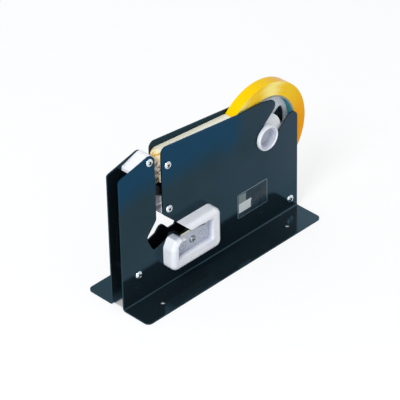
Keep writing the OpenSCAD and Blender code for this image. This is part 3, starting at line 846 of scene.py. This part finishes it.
# %% Wound roll
RINGS, AROUND = 44, 180
yellow = tape_yellow("tape_yellow")
sizes = {
    "Outer": OUTER, "Inner": CORE_OUT, "Width": WIDTH, "Unevenness": 0.00012, "Seed": 3,
    "Rings": RINGS, "Finish": yellow,
}
g, wire = recipe("wound roll", sizes)
columns = wire["Rings"] * 2 + 3
sheet = g.node(
    "GeometryNodeMeshGrid", None,
    {"Size X": 1.0, "Size Y": 1.0, "Vertices X": columns, "Vertices Y": AROUND + 1},
)
index = g.node("GeometryNodeInputIndex")
column = index.math("FLOOR", index / (AROUND + 1))
column = index.math("MODULO", column, columns - 1)
row = index.math("MODULO", index, AROUND + 1.0)
row = index.math("MODULO", row, float(AROUND))
angle = row * (math.tau / AROUND)
mirrored = index.math("MINIMUM", column, (columns - 2) - column)
side = index.math("SIGN", wire["Rings"] + 0.5 - column)
radius = wire["Inner"] + (wire["Outer"] - wire["Inner"]) * mirrored / wire["Rings"]
inset = g.node(
    "FunctionNodeRandomValue", {"data_type": "FLOAT"},
    {2: 0.0, 3: wire["Unevenness"], "ID": column, "Seed": wire["Seed"]}, 1,
)
edge_y = side * (inset - wire["Width"] * 0.5)
place = g.node(
    "ShaderNodeCombineXYZ", None,
    {0: radius * angle.math("COSINE", angle), 1: edge_y, 2: radius * angle.math("SINE", angle)},
)
moved = g.node("ShaderNodeVectorMath", {"operation": "ADD"}, {0: place, 1: tuple(SEAT)})
bent = g.node("GeometryNodeSetPosition", None, {"Geometry": sheet, "Position": moved})
closed = g.node("GeometryNodeMergeByDistance", None, {"Geometry": bent, "Distance": 1e-6})
finish_recipe(closed, wire["Finish"])
wound = cook("tape_wound", g, sizes, points("roll_start", []), yellow)
tidy_mesh(wound, 50)
stand_in(wound, "tape_roll")

# %% [markdown]
# The core is a tube of wound card with a printed blue-green inside. Its paper strips leave
# a spiral joint, and its cut ends show grey card.

# %% Card core
def card_core(name):
    """Wound card: printed inside with a spiral joint, and bare on its cut ends."""
    made, g, shader = new_material(name)
    point = object_point(g, tuple(SEAT))
    x, y, z = axes_of(g, point)
    bearing = g.math("ARCTAN2", z, x) / math.tau
    joint = abs(g.math("FRACT", bearing + y / 0.06) - 0.5)
    seam = 1 - ramp(joint, 0.006, 0.018)
    cut = ramp(abs(axes_of(g, normal_of(g), "Y")[0]), 0.5, 0.8)
    fibre = noise(g, point, 0.0012, 4, (1, 0.3, 1))
    inside = blend_colours(ramp(fibre, 0.3, 0.7), rgb(62, 150, 168), rgb(50, 132, 150))
    inside = blend_colours(seam * 0.6, inside, rgb(34, 92, 108))
    card = blend_colours(ramp(fibre, 0.35, 0.7), rgb(172, 166, 152), rgb(146, 138, 124))
    feed(shader, Base_Color=blend_colours(cut, inside, card), Roughness=0.5 + fibre * 0.3)
    feed(shader, Normal=bump(g, fibre - seam, 0.00004))
    return made


dress("tape_core", card_core("core_card"))

# %% [markdown]
# ## The drawn strip
# Tape runs from the roll, over the guide's rounded nose and down into the slot, sticky side
# out. Where it bends it creases and shows gold, and the hanging tail is wrinkled, streaked
# with painted shadow and painted highlights, and cut off at a slant. It is too thin and too
# bent for a box, so it is a grid of points laid along its path, with a thickness, small waves
# and a length of its own for each row. Attributes store how far along and across each point
# lies, for the colours.
# The nose's radius and height, the angle at which the tape leaves the roll and the slant of
# its cut end are the CAD solid's own.

# %% The strip's path
strip_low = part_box("tape_strip")[0]
NOSE_R, NOSE_Z = 0.0054, 0.1362
THICK, LIFT = 0.0003, 0.0003
TAIL_SLANT = math.tan(math.radians(51))
PEEL = math.radians(136.2)
guide_x = strip_low.x + THICK
NOSE = Vector((guide_x + NOSE_R, 0, NOSE_Z))
ROWS, TAIL_STEPS = 15, 46
peel_point = Vector((
    SEAT.x + (OUTER + LIFT) * math.cos(PEEL), 0, SEAT.z + (OUTER + LIFT) * math.sin(PEEL)
))
to_peel = peel_point - NOSE
wrap = math.atan2(to_peel.z, to_peel.x) + math.acos(NOSE_R / to_peel.length)
straight = math.sqrt(to_peel.length_squared - NOSE_R ** 2)
bend = NOSE_R * (math.pi - wrap)
print("the strip leaves the nose at", round(math.degrees(wrap), 1), "degrees")


def strip_line(s):
    """Place and outward direction at distance s from the roll."""
    out = Vector((math.cos(wrap), 0, math.sin(wrap)))
    along = Vector((math.sin(wrap), 0, -math.cos(wrap)))
    if s < straight:
        return NOSE + out * NOSE_R + along * (straight - s), out
    if s < straight + bend:
        a = wrap + (s - straight) / NOSE_R
        out = Vector((math.cos(a), 0, math.sin(a)))
        return NOSE + out * NOSE_R, out
    return Vector((guide_x, 0, NOSE.z - (s - straight - bend))), Vector((-1, 0, 0))


# %% Points of the ribbon
def strip_points():
    """Outer and inner layer of points, and how many lie along one row."""
    rng = random.Random(11)
    hang = NOSE.z - strip_low.z
    steps = [straight * i / 26 for i in range(26)]
    steps += [straight + bend * i / 14 for i in range(14)]
    half = WIDTH / 2
    waves = [
        (rng.uniform(240, 700), rng.uniform(-500, 500), rng.uniform(0, math.tau)) for _ in range(6)
    ]
    layers = ([], [])
    for j in range(ROWS):
        y = -half + 2 * half * j / (ROWS - 1)
        tail = hang - max(0, -y) * TAIL_SLANT
        places = steps + [straight + bend + tail * i / TAIL_STEPS for i in range(TAIL_STEPS + 1)]
        for s in places:
            centre, out = strip_line(s)
            loose = min(max((s - straight - 0.4 * bend) / 0.006, 0), 1)
            sway = sum(math.sin(a * s + b * y + c) for a, b, c in waves) / 6
            lift = loose * (0.00022 * sway + 0.0001)
            edge = THICK * 0.75
            for layer, away in zip(layers, (edge + lift, max(lift, 0) * 0.8)):
                spot = centre + out * (away + 0.00002)
                layer.append((spot.x, y, spot.z, s - straight, y))
    return layers, len(places)


# %% The ribbon's mesh
def strip_mesh():
    """Closed ribbon: its two layers of points, joined round the edges."""
    layers, count = strip_points()
    mesh = bpy.data.meshes.new("tape_ribbon")
    verts = [v[:3] for layer in layers for v in layer]
    size = ROWS * count
    faces = []
    for j in range(ROWS - 1):
        for i in range(count - 1):
            a = j * count + i
            faces.append((a, a + 1, a + count + 1, a + count))
            faces.append(tuple(size + v for v in (a, a + count, a + count + 1, a + 1)))
    rim = list(range(count)) + [j * count + count - 1 for j in range(1, ROWS)]
    rim += [(ROWS - 1) * count + i for i in range(count - 2, -1, -1)]
    rim += [j * count for j in range(ROWS - 2, 0, -1)]
    for a, b in zip(rim, rim[1:] + rim[:1]):
        faces.append((b, a, size + a, size + b))
    mesh.from_pydata(verts, [], faces)
    for name, at in (("along", 3), ("across", 4)):
        values = mesh.attributes.new(name, "FLOAT", "POINT")
        values.data.foreach_set("value", [v[at] for layer in layers for v in layer])
    return mesh


# %% [markdown]
# Seen from its sticky side the tape is pale, with gold in its creases. Along its length it
# changes: flat and cream up to the nose, creased over it, and where it hangs streaked with
# brown painted shadow and pale painted highlights.

# %% Tape film
def tape_film(name):
    """Pale film with folds that lie at a slant and grow stronger past the nose."""
    made, g, shader = new_material(name, IOR=1.48)
    shader.inputs["Coat Weight"].default_value = 0.3
    shader.inputs["Coat Roughness"].default_value = 0.1
    along = g.node("ShaderNodeAttribute", {"attribute_name": "along"}, out="Fac")
    across = g.node("ShaderNodeAttribute", {"attribute_name": "across"}, out="Fac")
    point = g.node("ShaderNodeCombineXYZ", None, {0: along, 1: across})
    cloud = noise(g, point, 0.005, 3, (1, 0.7, 1))
    slant = (0, 0, math.radians(57))
    slanted = g.node("ShaderNodeMapping", None, {"Vector": point, "Rotation": slant})
    folds = noise(g, slanted, 0.0034, 2, (1, 0.4, 1))
    flat = blend_colours(ramp(cloud, 0.35, 0.7), rgb(255, 254, 238), rgb(252, 247, 220))
    crease = blend_colours(ramp(folds, 0.46, 0.56), rgb(252, 238, 190), rgb(226, 172, 50))
    # painted shadow and highlight: the hanging tail is streaked brown in shade and pale where lit
    tail = blend_colours(ramp(folds, 0.45, 0.53), rgb(150, 124, 92), rgb(248, 236, 214))
    nose = ramp(along, -0.001, 0.005)
    hanging = ramp(along, 0.009, 0.0125)
    tip = ramp(along + across * 0.6, 0.033, 0.036)
    colour = blend_colours(nose, flat, crease)
    colour = blend_colours(hanging, colour, tail)
    colour = blend_colours(tip, colour, rgb(244, 242, 238))
    feed(shader, Base_Color=colour, Roughness=0.3 - nose * 0.1 + cloud * 0.15)
    feed(shader, Normal=bump(g, folds * nose, 0.00025))
    return made


film = tape_film("tape_film")
ribbon = keep("tape_ribbon", strip_mesh(), film)
tidy_mesh(ribbon, 60)
stand_in(ribbon, "tape_strip")

# %% [markdown]
# ## The lever's spring
# A torsion spring pushes the lever over the slot. Its wire follows a path: a leg, three
# turns and another leg, so a recipe sweeps a round profile along the path.

# %% Spring
WIRE_R, COIL_R, LEG = 0.0005, 0.004, 0.014


def spring_path(steps=20, turns=3):
    """The wire's line, measured from the lever's pin and the CAD solid's box."""
    low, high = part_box("lever_spring")
    pin = middle("lever_pin")
    y0, y1 = low.y + WIRE_R, high.y - WIRE_R
    line = [(low.x + WIRE_R, y0, low.z), (low.x + WIRE_R, y0, pin.z - LEG)]
    for i in range(turns * steps + 1):
        a = math.pi - math.tau * i / steps
        y = y0 + (y1 - y0) * i / (turns * steps)
        line.append((pin.x + COIL_R * math.cos(a), y, pin.z + COIL_R * math.sin(a)))
    line.append((high.x - WIRE_R, y1, high.z))
    return line, pin, y0, y1


line, pin, coil_low, coil_high = spring_path()
steel = metal("spring_wire", rgb(150, 152, 156), rgb(110, 112, 118), 0.3)
track = bpy.data.meshes.new("spring_line")
track.from_pydata(line, [(i, i + 1) for i in range(len(line) - 1)], [])
sizes = {"Wire radius": WIRE_R - 0.00001, "Sides": 14, "Finish": steel}
g, wire = recipe("wire along a line", sizes)
curve = g.node("GeometryNodeMeshToCurve", None, {"Mesh": wire["Geometry"]})
values = {"Resolution": wire["Sides"], "Radius": wire["Wire radius"]}
profile = g.node("GeometryNodeCurvePrimitiveCircle", None, values)
values = {"Curve": curve, "Profile Curve": profile, "Fill Caps": True}
swept = g.node("GeometryNodeCurveToMesh", None, values)
finish_recipe(swept, wire["Finish"])
spring = cook("spring_wire", g, sizes, track, steel)
tidy_mesh(spring, 50)
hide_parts("lever_spring")
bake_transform(spring)

# %% [markdown]
# ## The label
# A small clear film is stuck straight on the front plate. Nothing is printed on it but a
# thin pale border and two plain fields, grey above light. The film is a sheet with round
# corners, so its outline is drawn with four arcs and pushed out by its thickness.

# %% Label sheet
LABEL_W, LABEL_H, LABEL_R = 0.039, 0.0262, 0.0012
label_low, label_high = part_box("plate_label")
label = (label_low + label_high) / 2


def film_sheet():
    """Thin sheet in the XZ plane, from the plate's face outwards, with round corners."""
    mesh = bmesh.new()
    outline = []
    for i, (sx, sz) in enumerate(((1, 1), (1, -1), (-1, -1), (-1, 1))):
        for k in range(6):
            a = math.pi / 2 - (i + k / 5) * math.pi / 2
            x = label.x + sx * (LABEL_W / 2 - LABEL_R) + LABEL_R * math.cos(a)
            z = label.z + sz * (LABEL_H / 2 - LABEL_R) + LABEL_R * math.sin(a)
            outline.append((x, z))
    rings = []
    for inset, y in ((0, label_high.y), (0, label_low.y + 0.00005), (0.00006, label_low.y)):
        ring = []
        for x, z in outline:
            x -= math.copysign(inset, x - label.x)
            z -= math.copysign(inset, z - label.z)
            ring.append(mesh.verts.new((x, y, z)))
        rings.append(ring)
    count = len(outline)
    for a, b in zip(rings, rings[1:]):
        for i in range(count):
            j = (i + 1) % count
            mesh.faces.new((a[i], a[j], b[j], b[i]))
    mesh.faces.new(rings[0])
    mesh.faces.new(rings[-1][::-1])
    made = bpy.data.meshes.new("label_sheet")
    mesh.to_mesh(made)
    mesh.free()
    return made


# %% Label film
def label_film(name):
    """Dark film with a pale border and, at its left, a grey field above a light one."""
    made, g, shader = new_material(name, IOR=1.3)
    point = object_point(g, tuple(label))
    x, z = axes_of(g, point, "XZ")
    cloud = noise(g, point, 0.004, 3)
    edge = g.math("MAXIMUM", abs(x) - LABEL_W / 2, abs(z) - LABEL_H / 2)
    border = ramp(edge, -0.0009, -0.0006)
    inner = 1 - ramp(edge, -0.0016, -0.0013)
    left = 1 - ramp(x + (cloud - 0.5) * 0.004, -0.0025, -0.0015)
    upper = 1 - ramp(x, -0.0088, -0.0084)
    light = ramp(z, -0.0078, -0.0074) * (1 - ramp(z, 0.0022, 0.0026))
    field = blend_colours(ramp(cloud, 0.35, 0.75), rgb(24, 44, 56), rgb(40, 62, 74))
    grey = inner * upper * ramp(z, 0.0022, 0.0026)
    field = blend_colours(grey, field, rgb(116, 130, 130))
    field = blend_colours(inner * left * light, field, rgb(196, 204, 206))
    colour = blend_colours(border, field, rgb(112, 134, 144))
    feed(shader, Base_Color=colour, Roughness=0.22 + cloud * 0.15)
    feed(shader, Normal=bump(g, cloud, 0.00001))
    return made


sheet_film = label_film("label_film")
film_piece = keep("label_sheet", film_sheet(), sheet_film)
tidy_mesh(film_piece, 40)
stand_in(film_piece, "plate_label")
print("label sheet has", len(film_piece.data.polygons), "faces")
